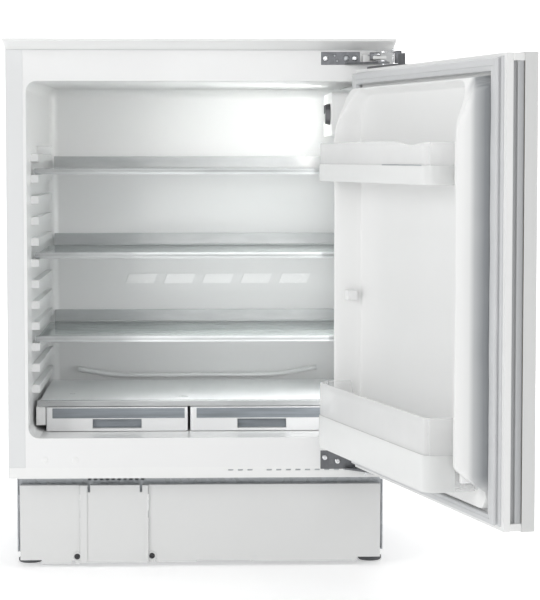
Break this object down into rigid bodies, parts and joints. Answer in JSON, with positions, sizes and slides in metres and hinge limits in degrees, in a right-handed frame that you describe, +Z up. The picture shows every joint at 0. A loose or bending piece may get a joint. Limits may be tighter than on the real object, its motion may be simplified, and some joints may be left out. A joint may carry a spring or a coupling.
{
  "type": "under counter fridge",
  "caption": "Built-under larder fridge with its door open: white lined cavity with glass shelves and crispers, door balconies, split plinth and levelling feet",
  "frame": {"origin": "On the floor, under the middle of the cabinet's front face", "axes": "+X to the right as seen from the front, +Y towards the back, +Z up; the door stands open towards -Y"},
  "size_m": [0.7227, 1.1608, 0.825],
  "materials": {
    "case_steel": "grey pre-painted sheet, satin",
    "liner_white": "vacuum-formed polystyrene, soft gloss",
    "foam": "rigid closed-cell foam, cut face",
    "evaporator_aluminium": "roll-bonded plate, dull",
    "galvanised_sheet": "zinc-coated sheet, faint spangle",
    "trim_white": "moulded, fine grain",
    "shelf_glass": "clear toughened glass, polished edges",
    "shelf_trim": "translucent white moulding",
    "crisper_clear": "clear moulding, slight haze",
    "lamp_white": "moulded, fine grain",
    "lens_frosted": "frosted prisms",
    "bulb_glass": "frosted bulb",
    "control_grey": "moulded, fine grain",
    "knob_black": "moulded, worn rim",
    "button_white": "polished",
    "rail_steel": "zinc-plated bent sheet",
    "plinth_white": "powder coat, fine orange peel",
    "foot_grey": "moulded, scuffed",
    "compressor_black": "thick semi-gloss dip paint",
    "mount_rubber": "matt",
    "box_black": "moulded, fine grain",
    "tray_grey": "moulded, water marks",
    "condenser_black": "dip-painted steel tube",
    "hinge_steel": "zinc-plated, passivated dark",
    "pin_steel": "ground and plated",
    "screw_black": "black oxide",
    "door_steel": "grey-white pre-painted sheet",
    "gasket_grey": "soft magnetic seal, matt",
    "balcony_clear": "clear moulding",
    "balcony_white": "white moulding, soft gloss"
  },
  "bodies": {
    "cabinet": {"outer_case": "case_steel", "inner_liner": "liner_white", "foam_insulation": "foam", "evaporator_plate": "evaporator_aluminium", "rear_panel": "galvanised_sheet", "base_plate": "galvanised_sheet", "top_trim": "trim_white", "vent_trim": "trim_white", "crisper_cover_glass": "shelf_glass", "crisper_cover_trim": "shelf_trim", "crisper_runners": "lamp_white", "lamp_housing": "lamp_white", "lamp_lens": "lens_frosted", "light_bulb": "bulb_glass", "thermostat": "control_grey", "base_frame": "rail_steel", "left_plinth_panel": "plinth_white", "right_plinth_panel": "plinth_white", "plinth_cover": "plinth_white", "compressor_shelf": "galvanised_sheet", "compressor": "compressor_black", "compressor_mounts": "mount_rubber", "terminal_box": "box_black", "mains_gland": "box_black", "evaporation_tray": "tray_grey", "drain_tube": "tray_grey", "condenser": "condenser_black", "fixing_screws": "screw_black", "upper_hinge_plate": "hinge_steel", "upper_hinge_cover": "lamp_white", "lower_hinge_plate": "hinge_steel", "hinge_pins": "pin_steel"},
    "door": {"door_outer_panel": "door_steel", "door_inner_liner": "liner_white", "door_foam": "foam", "door_end_caps": "trim_white", "door_gasket": "gasket_grey", "upper_hinge_bracket": "hinge_steel", "lower_hinge_bracket": "hinge_steel"},
    "upper_door_shelf": {"upper_balcony": "balcony_clear", "upper_balcony_trim": "balcony_white"},
    "lower_door_shelf": {"lower_balcony": "balcony_clear", "lower_balcony_trim": "balcony_white"},
    "upper_shelf": {"upper_shelf_glass": "shelf_glass", "upper_shelf_front_trim": "shelf_trim", "upper_shelf_rear_trim": "shelf_trim"},
    "middle_shelf": {"middle_shelf_glass": "shelf_glass", "middle_shelf_front_trim": "shelf_trim", "middle_shelf_rear_trim": "shelf_trim"},
    "lower_shelf": {"lower_shelf_glass": "shelf_glass", "lower_shelf_front_trim": "shelf_trim", "lower_shelf_rear_trim": "shelf_trim"},
    "left_drawer": {"left_crisper": "crisper_clear"},
    "right_drawer": {"right_crisper": "crisper_clear"},
    "knob": {"thermostat_knob": "knob_black"},
    "switch": {"light_switch_button": "button_white"},
    "foot_left_front": {"left_front_foot": "foot_grey"},
    "foot_right_front": {"right_front_foot": "foot_grey"},
    "foot_left_rear": {"left_rear_foot": "foot_grey"},
    "foot_right_rear": {"right_rear_foot": "foot_grey"}
  },
  "joints": [
    {"name": "door_hinge", "type": "hinge", "parent": "cabinet", "child": "door", "pos_m": [0.279, -0.05, 0.474], "axis": [0, 0, 1], "range_deg": [-104.2, 10]},
    {"name": "upper_balcony_lift", "type": "slide", "parent": "door", "child": "upper_door_shelf", "axis": [0, 0, 1], "range_m": [0, 0.03]},
    {"name": "lower_balcony_lift", "type": "slide", "parent": "door", "child": "lower_door_shelf", "axis": [0, 0, 1], "range_m": [0, 0.03]},
    {"name": "upper_shelf_slide", "type": "slide", "parent": "cabinet", "child": "upper_shelf", "axis": [0, -1, 0], "range_m": [0, 0.08]},
    {"name": "middle_shelf_slide", "type": "slide", "parent": "cabinet", "child": "middle_shelf", "axis": [0, -1, 0], "range_m": [0, 0.08]},
    {"name": "lower_shelf_slide", "type": "slide", "parent": "cabinet", "child": "lower_shelf", "axis": [0, -1, 0], "range_m": [0, 0.08]},
    {"name": "left_crisper_slide", "type": "slide", "parent": "cabinet", "child": "left_drawer", "axis": [0, -1, 0], "range_m": [0, 0.2]},
    {"name": "right_crisper_slide", "type": "slide", "parent": "cabinet", "child": "right_drawer", "axis": [0, -1, 0], "range_m": [0, 0.12]},
    {"name": "thermostat_turn", "type": "hinge", "parent": "cabinet", "child": "knob", "pos_m": [0.204, 0.102, 0.714], "axis": [-1, 0, 0], "range_deg": [0, 270]},
    {"name": "light_switch_press", "type": "slide", "parent": "cabinet", "child": "switch", "axis": [0, 1, 0], "range_m": [0, 0.004], "stiffness_N_per_m": 200},
    {"name": "foot_left_front_screw", "type": "slide", "parent": "cabinet", "child": "foot_left_front", "axis": [0, 0, -1], "range_m": [0, 0.045]},
    {"name": "foot_right_front_screw", "type": "slide", "parent": "cabinet", "child": "foot_right_front", "axis": [0, 0, -1], "range_m": [0, 0.045]},
    {"name": "foot_left_rear_screw", "type": "slide", "parent": "cabinet", "child": "foot_left_rear", "axis": [0, 0, -1], "range_m": [0, 0.045]},
    {"name": "foot_right_rear_screw", "type": "slide", "parent": "cabinet", "child": "foot_right_rear", "axis": [0, 0, -1], "range_m": [0, 0.045]}
  ]
}
